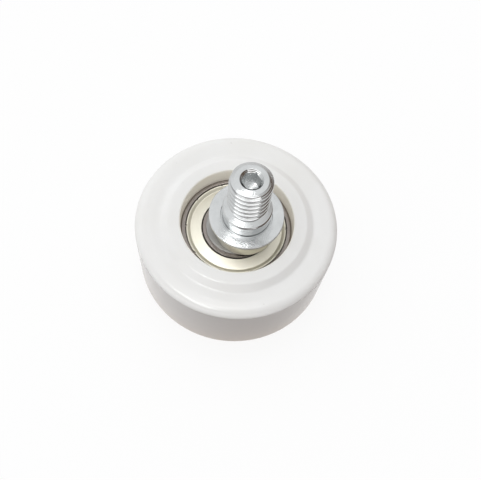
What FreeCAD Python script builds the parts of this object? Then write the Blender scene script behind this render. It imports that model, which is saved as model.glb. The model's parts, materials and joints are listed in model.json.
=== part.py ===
"""Eccentric roller: a plain plastic wheel on a shielded ball bearing, carried by a stud whose thread stands
off the bearing's axis.

Millimetres. The origin is the centre of the wheel's lower face, +Z runs along the bearing's axis towards the
thread, and the thread's axis is offset along +X.
"""
import FreeCAD
import Part
import Sketcher
import math
import os

BALL_COUNT = 8
SOCKET_TURN = 15
NOTCH_TURN = 13
EDGE_TOLERANCE = 0.001

# Driving sizes: name, millimetres (or a plain count or share), what it measures
DRIVING_SIZES = [
    ("wheel_diameter", 50.0, "tread diameter of the wheel"),
    ("wheel_width", 21.5, "width of the wheel from face to face"),
    ("wheel_edge_round", 2.0, "rounding where the tread meets each face"),
    ("front_recess_depth", 4.2, "from the wheel's front face down to the bearing"),
    ("shoulder_reach", 2.0, "reach of the shoulder behind the bearing, in from the bore"),
    ("shoulder_thickness", 2.5, "thickness of the shoulder behind the bearing"),
    ("hub_ring_share", 0.286, "flat ring round the bore, as a share of the face"),
    ("channel_share", 0.35, "shallow channel in each face, as a share of the face"),
    ("channel_wall_share", 0.31, "run of the channel's steep inner wall, as a share of the channel"),
    ("channel_rise_share", 0.53, "run of the channel's gentle outer rise, as a share of the channel"),
    ("channel_depth", 0.7, "depth of the channel in each face"),
    ("channel_edge_round", 0.6, "rounding of the channel's edges"),
    ("bore_edge_round", 0.4, "rounding of the bore's mouth at each face"),
    ("bearing_outer_diameter", 28.0, "outside of the bearing, and the wheel's bore"),
    ("bearing_bore_diameter", 12.0, "bore of the bearing, and the stud's journal"),
    ("bearing_width", 8.0, "width of both bearing rings"),
    ("ring_chamfer", 0.4, "chamfer on the outer edges of both bearing rings"),
    ("ball_share", 0.5953, "ball diameter as a share of the height between bore and outside"),
    ("ball_clearance", 0.04, "gap between a ball and the bottom of each groove"),
    ("groove_share", 1.033, "section radius of both ball grooves, as a share of the ball's"),
    ("groove_depth_share", 0.1934, "depth of both ball grooves, as a share of the ball diameter"),
    ("shield_thickness", 0.3, "sheet thickness of the shields"),
    ("shield_gap", 0.25, "gap between a shield and the inner ring"),
    ("shield_cage_gap", 0.259, "least gap between a shield and the cage"),
    ("shield_relief", 0.1, "gap between a shield's slope and the outer ring"),
    ("shield_wall", 1.0, "wall of the outer ring outside a shield's seat"),
    ("shield_lip", 0.25, "height of the lip that holds a shield's rim"),
    ("shield_lip_reach", 0.25, "reach of that lip over the rim"),
    ("shield_rim_width", 0.8, "width of a shield's rim"),
    ("shield_bead", 0.2, "height of the bead rolled along the rim's inner edge"),
    ("shield_gully", 0.18, "gap between that bead and the outer ring's lip"),
    ("shield_slope_run", 1.0, "run of the slope from the rim to the sunk flat"),
    ("shield_dish", 0.35, "depth of the flat below the rim"),
    ("notch_count", 10, "notches round a shield's rim"),
    ("notch_width", 0.6, "width of each notch"),
    ("notch_margin", 0.13, "rim left between a notch and the slope"),
    ("cage_thickness", 0.4, "sheet thickness of the cage"),
    ("cage_width", 1.6, "width of the cage's ribbon"),
    ("pocket_clearance", 0.06, "gap between a ball and its pocket"),
    ("rivet_diameter", 0.8, "shank of a cage rivet"),
    ("rivet_head_diameter", 1.4, "head of a cage rivet"),
    ("rivet_head_height", 0.25, "height of a cage rivet's head"),
    ("eccentricity", 2.1, "offset of the thread's axis from the bearing's axis"),
    ("seat_step", 1.6, "step from the journal out to the shoulder on the inner ring"),
    ("seat_height", 0.5, "height of that shoulder"),
    ("barrel_diameter", 15.0, "barrel between the shoulder and the flange"),
    ("flange_reach", 1.6, "reach of the flange beyond the barrel"),
    ("flange_rim", 0.8, "thickness of the flange at its rim"),
    ("flange_taper", 1.0, "height of the tapered underside of the flange"),
    ("flange_standoff", 3.6, "from the wheel's front face up to the flange's top"),
    ("boss_diameter", 12.0, "boss that centres the carrier plate"),
    ("boss_height", 3.9, "height of the boss above the flange"),
    ("boss_chamfer", 0.2, "chamfer on the boss"),
    ("boss_crown", 0.7, "rise of the boss's top from its chamfer to the relief"),
    ("thread_diameter", 10.0, "outside of the thread"),
    ("thread_length", 12.2, "from the boss to the end of the stud"),
    ("relief_depth", 0.9, "depth of the turned relief between boss and thread"),
    ("relief_length", 1.4, "length of that relief"),
    ("end_chamfer_run", 1.2, "chamfer on the stud's end, across the axis"),
    ("end_chamfer_height", 0.8, "chamfer on the stud's end, along the axis"),
    ("socket_across_flats", 4.0, "hexagon socket in the stud's end"),
    ("socket_depth", 4.5, "depth of the socket's flats"),
    ("socket_mouth_margin", 0.39, "countersunk mouth beyond the socket's corners"),
    ("journal_tail", 1.3, "journal beyond the retaining ring's groove"),
    ("journal_chamfer", 0.6, "chamfer on the journal's end"),
    ("retaining_ring_thickness", 1.0, "thickness of the retaining ring"),
    ("retaining_ring_width", 1.8, "radial width of the retaining ring"),
    ("retaining_ring_gap", 3.4, "opening of the retaining ring"),
    ("retaining_groove_depth", 0.25, "depth of the groove that holds the retaining ring"),
    ("retaining_groove_slack", 0.1, "groove width beyond the ring's thickness"),
    ("lug_diameter", 3.2, "eyes at the retaining ring's ends"),
    ("lug_hole_diameter", 1.5, "plier holes in those eyes"),
]

doc = FreeCAD.newDocument("eccentric_roller")
sizes = doc.addObject("Spreadsheet::Sheet", "sizes")
for row, (alias, value, meaning) in enumerate(DRIVING_SIZES, start=1):
    sizes.set("A%d" % row, meaning)
    sizes.set("B%d" % row, str(value))
    sizes.setAlias("B%d" % row, alias)
doc.recompute()

# Heights and radii that several pieces share, as formulas on the driving sizes
BEARING_FRONT = "(sizes.wheel_width - sizes.front_recess_depth)"
BEARING_REAR = "(%s - sizes.bearing_width)" % BEARING_FRONT
BEARING_MIDDLE = "(%s - sizes.bearing_width / 2)" % BEARING_FRONT
SEAT_TOP = "(%s + sizes.seat_height)" % BEARING_FRONT
FLANGE_TOP = "(sizes.wheel_width + sizes.flange_standoff)"
BOSS_TOP = "(%s + sizes.boss_height)" % FLANGE_TOP
STUD_END = "(%s + sizes.thread_length)" % BOSS_TOP

BALL_CIRCLE = "((sizes.bearing_outer_diameter + sizes.bearing_bore_diameter) / 4)"
SECTION_HEIGHT = "((sizes.bearing_outer_diameter - sizes.bearing_bore_diameter) / 2)"
SHIELD_DEPTH = "(sizes.shield_lip + sizes.shield_dish + sizes.shield_thickness)"
CAGE_ROOM = "(sizes.shield_cage_gap + sizes.cage_thickness + sizes.pocket_clearance)"
BALL_DIAMETER = "min(sizes.ball_share * %s; sizes.bearing_width - 2 * (%s + %s))" % (
    SECTION_HEIGHT, SHIELD_DEPTH, CAGE_ROOM)
BALL_RADIUS = "(%s / 2)" % BALL_DIAMETER
POCKET_RADIUS = "(%s + sizes.pocket_clearance)" % BALL_RADIUS
GROOVE_RADIUS = "(sizes.groove_share * %s)" % BALL_RADIUS
GROOVE_DEPTH = "(sizes.groove_depth_share * %s)" % BALL_DIAMETER
INNER_RACE_BOTTOM = "(%s - %s - sizes.ball_clearance)" % (BALL_CIRCLE, BALL_RADIUS)
OUTER_RACE_BOTTOM = "(%s + %s + sizes.ball_clearance)" % (BALL_CIRCLE, BALL_RADIUS)
INNER_SHOULDER = "(%s + %s)" % (INNER_RACE_BOTTOM, GROOVE_DEPTH)
OUTER_SHOULDER = "(%s - %s)" % (OUTER_RACE_BOTTOM, GROOVE_DEPTH)
GROOVE_MOUTH = "sqrt(%s * (2 * %s - %s))" % (GROOVE_DEPTH, GROOVE_RADIUS, GROOVE_DEPTH)
SHIELD_SEAT = "(sizes.bearing_outer_diameter / 2 - sizes.shield_wall)"
SHIELD_LIP_EDGE = "(%s - sizes.shield_lip_reach)" % SHIELD_SEAT
SHIELD_RIM_INSIDE = "(%s - sizes.shield_rim_width)" % SHIELD_SEAT

JOURNAL = "(sizes.bearing_bore_diameter / 2)"
RETAINING_GROOVE = "(%s - sizes.retaining_groove_depth)" % JOURNAL


def number(formula):
    """Value of a formula on the driving sizes."""
    return float(sizes.evalExpression(formula))


def origin_plane(body, role):
    """One of a body's own origin planes."""
    return next(item for item in body.Origin.OriginFeatures if item.Role == role)


def new_body(label):
    body = doc.addObject("PartDesign::Body", label)
    body.Label = label
    return body


def new_sketch(body, name, role, offset=None):
    """Sketch on an origin plane, moved by formulas for the plane's own x, y and z."""
    sketch = body.newObject("Sketcher::SketchObject", name)
    sketch.AttachmentSupport = [(origin_plane(body, role), "")]
    sketch.MapMode = "FlatFace"
    for axis, formula in (offset or {}).items():
        sketch.setExpression("AttachmentOffset.Base.%s" % axis, formula)
    return sketch


def draw_outline(sketch, corners, arcs=None):
    """Closed outline through corners given as pairs of formulas.

    arcs maps an edge's index to the formula of its radius and the formulas of its centre.
    """
    arcs = arcs or {}
    places = [FreeCAD.Vector(number(across), number(along), 0) for across, along in corners]
    starts = []
    ends = []
    for index, place in enumerate(places):
        following = places[(index + 1) % len(places)]
        first, last = 1, 2
        if index in arcs:
            radius, centre_across, centre_along = arcs[index]
            centre = FreeCAD.Vector(number(centre_across), number(centre_along), 0)
            turn = (place - centre).cross(following - centre).z
            if turn < 0:
                first, last = 2, 1
            begin, finish = (place, following) if turn > 0 else (following, place)
            circle = Part.Circle(centre, FreeCAD.Vector(0, 0, 1), number(radius))
            angles = [math.atan2((point - centre).y, (point - centre).x) for point in (begin, finish)]
            sketch.addGeometry(Part.ArcOfCircle(circle, angles[0], angles[1]), False)
        else:
            sketch.addGeometry(Part.LineSegment(place, following), False)
        starts.append((index, first))
        ends.append((index, last))
    for index in range(len(places)):
        following = (index + 1) % len(places)
        sketch.addConstraint(Sketcher.Constraint("Coincident", *ends[index], *starts[following]))
    for index, (across, along) in enumerate(corners):
        bind_corner(sketch, starts[index], "across", index, across)
        bind_corner(sketch, starts[index], "along", index, along)
    for index, (radius, _, _) in arcs.items():
        place = sketch.addConstraint(Sketcher.Constraint("Radius", index, number(radius)))
        sketch.renameConstraint(place, "arc_%d" % index)
        sketch.setExpression("Constraints.arc_%d" % index, radius)


def bind_corner(sketch, corner, direction, index, formula):
    """Tie one coordinate of a corner to its formula, or to the sketch's axis where it is zero."""
    if formula == "0":
        axis = -2 if direction == "across" else -1
        sketch.addConstraint(Sketcher.Constraint("PointOnObject", *corner, axis))
        return
    kind = "DistanceX" if direction == "across" else "DistanceY"
    place = sketch.addConstraint(Sketcher.Constraint(kind, -1, 1, *corner, number(formula)))
    sketch.renameConstraint(place, "%s_%d" % (direction, index))
    sketch.setExpression("Constraints.%s_%d" % (direction, index), formula)


def turn(body, name, corners, arcs=None, offset=None, kind="PartDesign::Revolution"):
    """Turn an outline of (radius, height) formulas round the sketch's upright axis."""
    sketch = new_sketch(body, name + "_profile", "XZ_Plane", offset)
    draw_outline(sketch, corners, arcs)
    feature = body.newObject(kind, name)
    feature.Profile = sketch
    feature.ReferenceAxis = (sketch, ["V_Axis"])
    feature.Angle = 360
    doc.recompute()
    return feature


def round_rings(body, base, name, radius, rings):
    """Fillet the circular edges that lie at the given (radius, height) formulas."""
    wanted = [(number(across), number(along)) for across, along in rings]
    edges = []
    for index, edge in enumerate(base.Shape.Edges, start=1):
        if not isinstance(edge.Curve, Part.Circle):
            continue
        for across, along in wanted:
            same_radius = abs(edge.Curve.Radius - across) < EDGE_TOLERANCE
            if same_radius and abs(edge.Curve.Center.z - along) < EDGE_TOLERANCE:
                edges.append("Edge%d" % index)
    if len(edges) != len(rings):
        raise RuntimeError("%s found %d edges of %d" % (name, len(edges), len(rings)))
    fillet = body.newObject("PartDesign::Fillet", name)
    fillet.Base = (base, edges)
    fillet.setExpression("Radius", radius)
    doc.recompute()
    return fillet


def primitive(kind, name, place=None, **formulas):
    """Part primitive with its sizes and its place bound to formulas."""
    item = doc.addObject("Part::" + kind, name)
    for size, formula in formulas.items():
        item.setExpression(size, formula)
    for axis, formula in (place or {}).items():
        item.setExpression("Placement.Base." + axis, formula)
    return item


def combine(kind, name, first, second):
    """Cut, fuse or intersect two objects of the document."""
    item = doc.addObject("Part::" + kind, name)
    item.Base = first
    item.Tool = second
    return item


def fuse_all(name, pieces):
    item = doc.addObject("Part::MultiFuse", name)
    item.Shapes = pieces
    return item


def around(radius, angle):
    """Place on a circle about the bearing's axis, at an angle in degrees."""
    return {"x": "%s * cos(%g)" % (radius, angle), "y": "%s * sin(%g)" % (radius, angle)}


def ball_angle(index):
    return index * 360 / BALL_COUNT


def rivet_angle(index):
    return (index + 0.5) * 360 / BALL_COUNT


def make_wheel():
    """Moulded wheel: plain tread, a shallow channel in each face, and a shoulder behind the bearing."""
    body = new_body("roller_wheel")
    tread = "sizes.wheel_diameter / 2"
    top = "sizes.wheel_width"
    bore = "sizes.bearing_outer_diameter / 2"
    opening = bore + " - sizes.shoulder_reach"
    face = "(%s - %s)" % (tread, bore)
    hub = "%s + sizes.hub_ring_share * %s" % (bore, face)
    width = "sizes.channel_share * %s" % face
    channel = "%s + %s" % (hub, width)
    floor_inside = "%s + sizes.channel_wall_share * %s" % (hub, width)
    floor_outside = "%s - sizes.channel_rise_share * %s" % (channel, width)
    front_floor = "sizes.wheel_width - sizes.channel_depth"
    rear_floor = "sizes.channel_depth"
    shoulder_rear = BEARING_REAR + " - sizes.shoulder_thickness"
    blank = turn(body, "wheel_blank", [
        (bore, top), (hub, top), (floor_inside, front_floor), (floor_outside, front_floor), (channel, top),
        (tread, top), (tread, "0"),
        (channel, "0"), (floor_outside, rear_floor), (floor_inside, rear_floor), (hub, "0"), (bore, "0"),
        (bore, shoulder_rear), (opening, shoulder_rear), (opening, BEARING_REAR), (bore, BEARING_REAR),
    ])
    edges = round_rings(body, blank, "tread_edges", "sizes.wheel_edge_round", [(tread, top), (tread, "0")])
    face_rings = [
        (hub, top), (floor_inside, front_floor), (floor_outside, front_floor), (channel, top),
        (hub, "0"), (floor_inside, rear_floor), (floor_outside, rear_floor), (channel, "0"),
    ]
    channels = round_rings(body, edges, "channel_edges", "sizes.channel_edge_round", face_rings)
    round_rings(body, channels, "bore_edges", "sizes.bore_edge_round", [(bore, top), (bore, "0")])
    return body


def make_outer_ring():
    """Outer ring: ball groove in the middle, and a lipped seat for a shield at each side."""
    body = new_body("bearing_outer_ring")
    outside = "sizes.bearing_outer_diameter / 2"
    edge = "sizes.bearing_outer_diameter / 2 - sizes.ring_chamfer"
    front_lip = BEARING_FRONT + " - sizes.shield_lip"
    rear_lip = BEARING_REAR + " + sizes.shield_lip"
    front_seat = front_lip + " - sizes.shield_thickness"
    rear_seat = rear_lip + " + sizes.shield_thickness"
    relief = SHIELD_RIM_INSIDE + " + sizes.shield_relief"
    relief_depth = "(sizes.shield_dish + sizes.shield_relief)"
    corners = [
        (edge, BEARING_FRONT), (SHIELD_LIP_EDGE, BEARING_FRONT), (SHIELD_LIP_EDGE, front_lip),
        (SHIELD_SEAT, front_lip), (SHIELD_SEAT, front_seat), (relief, front_seat),
        (OUTER_SHOULDER, "%s - %s" % (front_seat, relief_depth)),
        (OUTER_SHOULDER, "%s + %s" % (BEARING_MIDDLE, GROOVE_MOUTH)),
        (OUTER_SHOULDER, "%s - %s" % (BEARING_MIDDLE, GROOVE_MOUTH)),
        (OUTER_SHOULDER, "%s + %s" % (rear_seat, relief_depth)),
        (relief, rear_seat), (SHIELD_SEAT, rear_seat), (SHIELD_SEAT, rear_lip),
        (SHIELD_LIP_EDGE, rear_lip), (SHIELD_LIP_EDGE, BEARING_REAR), (edge, BEARING_REAR),
        (outside, BEARING_REAR + " + sizes.ring_chamfer"), (outside, BEARING_FRONT + " - sizes.ring_chamfer"),
    ]
    groove_centre = "%s - %s" % (OUTER_RACE_BOTTOM, GROOVE_RADIUS)
    turn(body, "outer_ring_turned", corners, {7: (GROOVE_RADIUS, groove_centre, BEARING_MIDDLE)})
    return body


def make_inner_ring():
    """Inner ring: bore on the journal, and a ball groove round the outside."""
    body = new_body("bearing_inner_ring")
    bore_edge = JOURNAL + " + sizes.ring_chamfer"
    corners = [
        (bore_edge, BEARING_FRONT), (JOURNAL, BEARING_FRONT + " - sizes.ring_chamfer"),
        (JOURNAL, BEARING_REAR + " + sizes.ring_chamfer"), (bore_edge, BEARING_REAR),
        (INNER_SHOULDER, BEARING_REAR), (INNER_SHOULDER, "%s - %s" % (BEARING_MIDDLE, GROOVE_MOUTH)),
        (INNER_SHOULDER, "%s + %s" % (BEARING_MIDDLE, GROOVE_MOUTH)), (INNER_SHOULDER, BEARING_FRONT),
    ]
    groove_centre = "%s + %s" % (INNER_RACE_BOTTOM, GROOVE_RADIUS)
    turn(body, "inner_ring_turned", corners, {5: (GROOVE_RADIUS, groove_centre, BEARING_MIDDLE)})
    return body


def make_shield(label, face, inward):
    """Pressed shield: notched and beaded rim in the outer ring's seat, and a flat sunk towards the balls."""
    body = new_body(label)
    flat_outside = SHIELD_RIM_INSIDE + " - sizes.shield_slope_run"
    flat_inside = INNER_SHOULDER + " + sizes.shield_gap"
    bead_outside = SHIELD_LIP_EDGE + " - sizes.shield_gully"
    rim_face = "%s %s sizes.shield_lip" % (face, inward)
    bead_face = "%s %s (sizes.shield_lip - sizes.shield_bead)" % (face, inward)
    rim_back = "%s %s sizes.shield_thickness" % (rim_face, inward)
    flat_face = "%s %s sizes.shield_dish" % (rim_face, inward)
    flat_back = "%s %s sizes.shield_thickness" % (flat_face, inward)
    turn(body, label + "_pressed", [
        (flat_inside, flat_face), (flat_outside, flat_face), (SHIELD_RIM_INSIDE, bead_face),
        (bead_outside, bead_face), (bead_outside, rim_face), (SHIELD_SEAT, rim_face), (SHIELD_SEAT, rim_back),
        (SHIELD_RIM_INSIDE, rim_back), (flat_outside, flat_back), (flat_inside, flat_back),
    ])
    sketch = new_sketch(body, label + "_notch_outline", "XY_Plane", {"z": rim_face})
    sketch.AttachmentOffset.Rotation = FreeCAD.Rotation(FreeCAD.Vector(0, 0, 1), NOTCH_TURN)
    notch_inside = SHIELD_RIM_INSIDE + " + sizes.notch_margin"
    half_width = "sizes.notch_width / 2"
    draw_outline(sketch, [
        (notch_inside, "-" + half_width), (SHIELD_LIP_EDGE, "-" + half_width),
        (SHIELD_LIP_EDGE, half_width), (notch_inside, half_width),
    ])
    notch = body.newObject("PartDesign::Pocket", label + "_notch")
    notch.Profile = sketch
    notch.Midplane = True
    notch.setExpression("Length", "2 * (sizes.shield_dish + sizes.shield_thickness)")
    doc.recompute()
    notches = body.newObject("PartDesign::PolarPattern", label + "_notches")
    notches.Originals = [notch]
    notches.Axis = (sketch, ["N_Axis"])
    notches.Angle = 360
    notches.setExpression("Occurrences", "sizes.notch_count")
    body.Tip = notches
    doc.recompute()
    return body


def make_stud():
    """Turned stud: journal and shoulder on the bearing's axis, all above them on the offset axis."""
    body = new_body("eccentric_stud")
    journal_edge = JOURNAL + " - sizes.journal_chamfer"
    seat = JOURNAL + " + sizes.seat_step"
    groove_rear = BEARING_REAR + " - sizes.retaining_ring_thickness - sizes.retaining_groove_slack"
    journal_end = groove_rear + " - sizes.journal_tail"
    turn(body, "journal", [
        ("0", journal_end), (journal_edge, journal_end), (JOURNAL, journal_end + " + sizes.journal_chamfer"),
        (JOURNAL, groove_rear), (RETAINING_GROOVE, groove_rear), (RETAINING_GROOVE, BEARING_REAR),
        (JOURNAL, BEARING_REAR), (JOURNAL, BEARING_FRONT), (seat, BEARING_FRONT), (seat, SEAT_TOP),
        ("0", SEAT_TOP),
    ])
    offset = {"x": "sizes.eccentricity"}
    barrel = "sizes.barrel_diameter / 2"
    flange = barrel + " + sizes.flange_reach"
    rim_low = FLANGE_TOP + " - sizes.flange_rim"
    boss = "sizes.boss_diameter / 2"
    thread = "sizes.thread_diameter / 2"
    relief = thread + " - sizes.relief_depth"
    relief_end = BOSS_TOP + " + sizes.relief_length"
    thread_start = relief_end + " + sizes.relief_depth"
    turn(body, "offset_shank", [
        ("0", SEAT_TOP), (barrel, SEAT_TOP), (barrel, rim_low + " - sizes.flange_taper"), (flange, rim_low),
        (flange, FLANGE_TOP), (boss, FLANGE_TOP), (boss, BOSS_TOP + " - sizes.boss_chamfer"),
        (boss + " - sizes.boss_chamfer", BOSS_TOP), (relief, BOSS_TOP + " + sizes.boss_crown"),
        (relief, relief_end),
        (thread, thread_start), (thread, STUD_END + " - sizes.end_chamfer_height"),
        (thread + " - sizes.end_chamfer_run", STUD_END), ("0", STUD_END),
    ], offset=offset)
    cut_socket(body, offset)
    return body


def cut_socket(body, offset):
    """Hexagon socket with a countersunk mouth and the drill's cone at its bottom."""
    solid_before = body.Shape.Volume
    corner_radius = "sizes.socket_across_flats / sqrt(3)"
    corner_angles = range(SOCKET_TURN, SOCKET_TURN + 360, 60)
    sketch = new_sketch(body, "socket_outline", "XY_Plane", dict(offset, z=STUD_END))
    draw_outline(sketch, [
        ("%s * cos(%d)" % (corner_radius, angle), "%s * sin(%d)" % (corner_radius, angle))
        for angle in corner_angles
    ])
    socket = body.newObject("PartDesign::Pocket", "socket")
    socket.Profile = sketch
    socket.setExpression("Length", "sizes.socket_depth")
    doc.recompute()
    mouth = corner_radius + " + sizes.socket_mouth_margin"
    flat = "sizes.socket_across_flats / 2"
    mouth_bottom = "%s - (%s - %s)" % (STUD_END, mouth, flat)
    turn(body, "socket_mouth", [
        ("0", mouth_bottom), (flat, mouth_bottom), (mouth, STUD_END), ("0", STUD_END),
    ], offset=offset, kind="PartDesign::Groove")
    socket_bottom = STUD_END + " - sizes.socket_depth"
    turn(body, "socket_drill_point", [
        ("0", "%s - %s * tan(30)" % (socket_bottom, flat)), (flat, socket_bottom), ("0", socket_bottom),
    ], offset=offset, kind="PartDesign::Groove")
    if body.Shape.Volume >= solid_before:
        raise RuntimeError("the socket removed nothing")


def make_retaining_ring():
    """Open spring ring in the journal's groove, with an eye at each end."""
    rear = BEARING_REAR + " - sizes.retaining_ring_thickness"
    height = "sizes.retaining_ring_thickness"
    inside = RETAINING_GROOVE
    outside = inside + " + sizes.retaining_ring_width"
    blank = primitive("Cylinder", "ring_blank", {"z": rear}, Radius=outside, Height=height)
    bore = primitive("Cylinder", "ring_bore", {"z": rear}, Radius=inside, Height=height)
    gap_place = {"x": "-sizes.retaining_ring_gap / 2", "z": rear}
    gap = primitive("Box", "ring_gap", gap_place, Length="sizes.retaining_ring_gap", Width=outside,
                    Height=height)
    open_ring = combine("Cut", "open_ring", blank, fuse_all("ring_openings", [bore, gap]))
    eyes = []
    holes = []
    eye_radius = "sizes.lug_diameter / 2"
    hole_radius = "sizes.lug_hole_diameter / 2"
    for side, sign in (("left", "-"), ("right", "")):
        across = "%s(sizes.retaining_ring_gap / 2 + %s)" % (sign, hole_radius)
        place = {"x": across, "y": "%s + %s" % (inside, eye_radius), "z": rear}
        eyes.append(primitive("Cylinder", side + "_eye", place, Radius=eye_radius, Height=height))
        holes.append(primitive("Cylinder", side + "_hole", place, Radius=hole_radius, Height=height))
    solid_ring = fuse_all("ring_with_eyes", [open_ring] + eyes)
    ring = combine("Cut", "retaining_ring", solid_ring, fuse_all("eye_holes", holes))
    ring.Label = "retaining_ring"
    return ring


def make_balls():
    """Balls on the pitch circle, each a piece of its own."""
    balls = []
    for index in range(BALL_COUNT):
        place = dict(around(BALL_CIRCLE, ball_angle(index)), z=BEARING_MIDDLE)
        ball = primitive("Sphere", "ball_%d" % (index + 1), place, Radius=BALL_RADIUS)
        ball.Label = "ball_%d" % (index + 1)
        balls.append(ball)
    return balls


def make_cage():
    """Ribbon cage: two pressed halves with a domed pocket over each ball, riveted between the pockets."""
    inside = BALL_CIRCLE + " - sizes.cage_width / 2"
    outside = BALL_CIRCLE + " + sizes.cage_width / 2"
    dome_radius = POCKET_RADIUS + " + sizes.cage_thickness"
    middle = {"z": BEARING_MIDDLE}
    band_blank = primitive("Cylinder", "band_blank", middle, Radius=outside, Height=dome_radius)
    band_bore = primitive("Cylinder", "band_bore", middle, Radius=inside, Height=dome_radius)
    band = combine("Cut", "cage_band", band_blank, band_bore)
    plate_blank = primitive("Cylinder", "plate_blank", middle, Radius=outside, Height="sizes.cage_thickness")
    plate_bore = primitive("Cylinder", "plate_bore", middle, Radius=inside, Height="sizes.cage_thickness")
    plate = combine("Cut", "cage_plate", plate_blank, plate_bore)
    domes = []
    pockets = []
    holes = []
    for index in range(BALL_COUNT):
        ball_place = dict(around(BALL_CIRCLE, ball_angle(index)), z=BEARING_MIDDLE)
        domes.append(primitive("Sphere", "dome_%d" % index, ball_place, Radius=dome_radius))
        pockets.append(primitive("Sphere", "pocket_%d" % index, ball_place, Radius=POCKET_RADIUS))
        rivet_place = dict(around(BALL_CIRCLE, rivet_angle(index)), z=BEARING_MIDDLE)
        hole = primitive("Cylinder", "rivet_hole_%d" % index, rivet_place, Radius="sizes.rivet_diameter / 2",
                         Height="sizes.cage_thickness")
        holes.append(hole)
    ribbon = combine("Common", "cage_domes", band, fuse_all("domes", domes))
    pressed = fuse_all("pressed_ribbon", [plate, ribbon])
    front = combine("Cut", "front_cage_half", pressed, fuse_all("cage_openings", pockets + holes))
    front.Label = "front_cage_half"
    rear = doc.addObject("Part::Mirroring", "rear_cage_half")
    rear.Source = front
    rear.Normal = FreeCAD.Vector(0, 0, 1)
    rear.setExpression("Base.z", BEARING_MIDDLE)
    rear.Label = "rear_cage_half"
    return [front, rear, make_rivets()]


def make_rivets():
    """Cage rivets: a shank through both plates and a tapered head on each side."""
    head = "sizes.rivet_head_diameter / 2"
    shank = "sizes.rivet_diameter / 2"
    rivets = []
    for index in range(BALL_COUNT):
        place = around(BALL_CIRCLE, rivet_angle(index))
        low = BEARING_MIDDLE + " - sizes.cage_thickness"
        high = BEARING_MIDDLE + " + sizes.cage_thickness"
        pin = primitive("Cylinder", "rivet_shank_%d" % index, dict(place, z=low), Radius=shank,
                        Height="2 * sizes.cage_thickness")
        upper = primitive("Cone", "rivet_head_%d" % index, dict(place, z=high), Radius1=head, Radius2=shank,
                          Height="sizes.rivet_head_height")
        lower = primitive("Cone", "rivet_tail_%d" % index, dict(place, z=low + " - sizes.rivet_head_height"),
                          Radius1=shank, Radius2=head, Height="sizes.rivet_head_height")
        rivets.append(fuse_all("rivet_%d" % index, [pin, upper, lower]))
    group = doc.addObject("Part::Compound", "cage_rivets")
    group.Links = rivets
    group.Label = "cage_rivets"
    return group


def check_and_write(pieces):
    """Stop on any failed object or bad solid, then write one file for each piece."""
    doc.recompute()
    for item in doc.Objects:
        if "Invalid" in item.State or "Error" in item.State:
            raise RuntimeError("%s failed: %s" % (item.Name, item.State))
    for piece in pieces:
        if piece.Shape.isNull() or not piece.Shape.isValid() or piece.Shape.Volume <= 0:
            raise RuntimeError("%s has no sound solid" % piece.Label)
    os.makedirs("parts", exist_ok=True)
    for piece in pieces:
        piece.Shape.exportStep("parts/%s.step" % piece.Label)
        print("%-20s %d solid(s) %10.3f mm3" % (piece.Label, len(piece.Shape.Solids), piece.Shape.Volume))


pieces = [make_wheel(), make_outer_ring(), make_inner_ring()]
pieces.append(make_shield("front_shield", BEARING_FRONT, "-"))
pieces.append(make_shield("rear_shield", BEARING_REAR, "+"))
pieces.append(make_stud())
pieces.append(make_retaining_ring())
pieces.extend(make_balls())
pieces.extend(make_cage())
check_and_write(pieces)
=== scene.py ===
"""Looks of an eccentric roller: a white moulded wheel on a shielded ball bearing, carried by a turned and
zinc-plated stud whose thread stands off the bearing's axis.

Metres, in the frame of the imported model: +Z runs along the bearing's axis towards the thread, and the
thread's axis is offset along +X.
"""
import json
import math
from collections import namedtuple

import bmesh
import bpy
from bpy.props import FloatProperty, FloatVectorProperty, IntProperty, PointerProperty
from mathutils import Matrix, Vector


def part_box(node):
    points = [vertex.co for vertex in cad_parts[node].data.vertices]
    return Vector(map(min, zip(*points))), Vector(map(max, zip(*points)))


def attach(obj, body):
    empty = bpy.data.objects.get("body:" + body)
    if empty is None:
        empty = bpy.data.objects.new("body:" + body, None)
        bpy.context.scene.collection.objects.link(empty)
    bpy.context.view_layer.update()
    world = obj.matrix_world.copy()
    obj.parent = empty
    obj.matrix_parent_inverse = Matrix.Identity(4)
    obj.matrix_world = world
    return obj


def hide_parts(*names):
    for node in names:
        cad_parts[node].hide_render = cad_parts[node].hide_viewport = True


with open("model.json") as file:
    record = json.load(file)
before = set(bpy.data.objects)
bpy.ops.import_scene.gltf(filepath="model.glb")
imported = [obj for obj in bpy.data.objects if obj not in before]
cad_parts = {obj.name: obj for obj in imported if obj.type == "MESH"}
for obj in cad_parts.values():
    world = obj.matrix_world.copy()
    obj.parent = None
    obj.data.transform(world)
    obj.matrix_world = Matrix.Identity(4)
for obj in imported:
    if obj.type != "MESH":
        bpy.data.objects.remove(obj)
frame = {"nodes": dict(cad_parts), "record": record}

bl_info = {
    "name": "Eccentric roller",
    "version": (1, 0, 0),
    "blender": (4, 5, 0),
    "location": "3D View > Sidebar > Roller",
    "description": "Models and finishes an eccentric roller around its packed frame",
    "category": "Object",
}

MM = 0.001
WELD = 1e-7  # vertices closer than this are merged
RING_TOLERANCE = 2e-6  # how near to its ring's place a vertex lies
TURN_STEPS = 192  # faces round a turned piece
SMOOTH_ANGLE = math.radians(32)
DRILL_SLOPE = math.radians(30)  # cone at the bottom of a drilled hole
SOFT_EDGE = 0.2 * MM  # how softly one tone of plating passes into the next
# Painted shade: the next value sets how softly the painted shade in a shield's gully begins.
GAP_SHADE_EDGE = 0.04 * MM  # how softly grease begins
SKY_STOPS = (0.50, 0.66, 0.95)  # room, haze and light: 0 faces away from the light, 1 towards it
SHADE_STOPS = ((0.60, 0), (0.85, 0.85), (0.97, 1))  # how the room's dark side begins and fills

# A tone painted below a height, and how much rougher it is: a painted reflection or a painted shade.
Band = namedtuple("Band", "top tone rougher")
# Painted shade between two heights: it begins at a crest radius and is full at a root radius further in.
Grime = namedtuple("Grime", "low high crest root tone")

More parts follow.
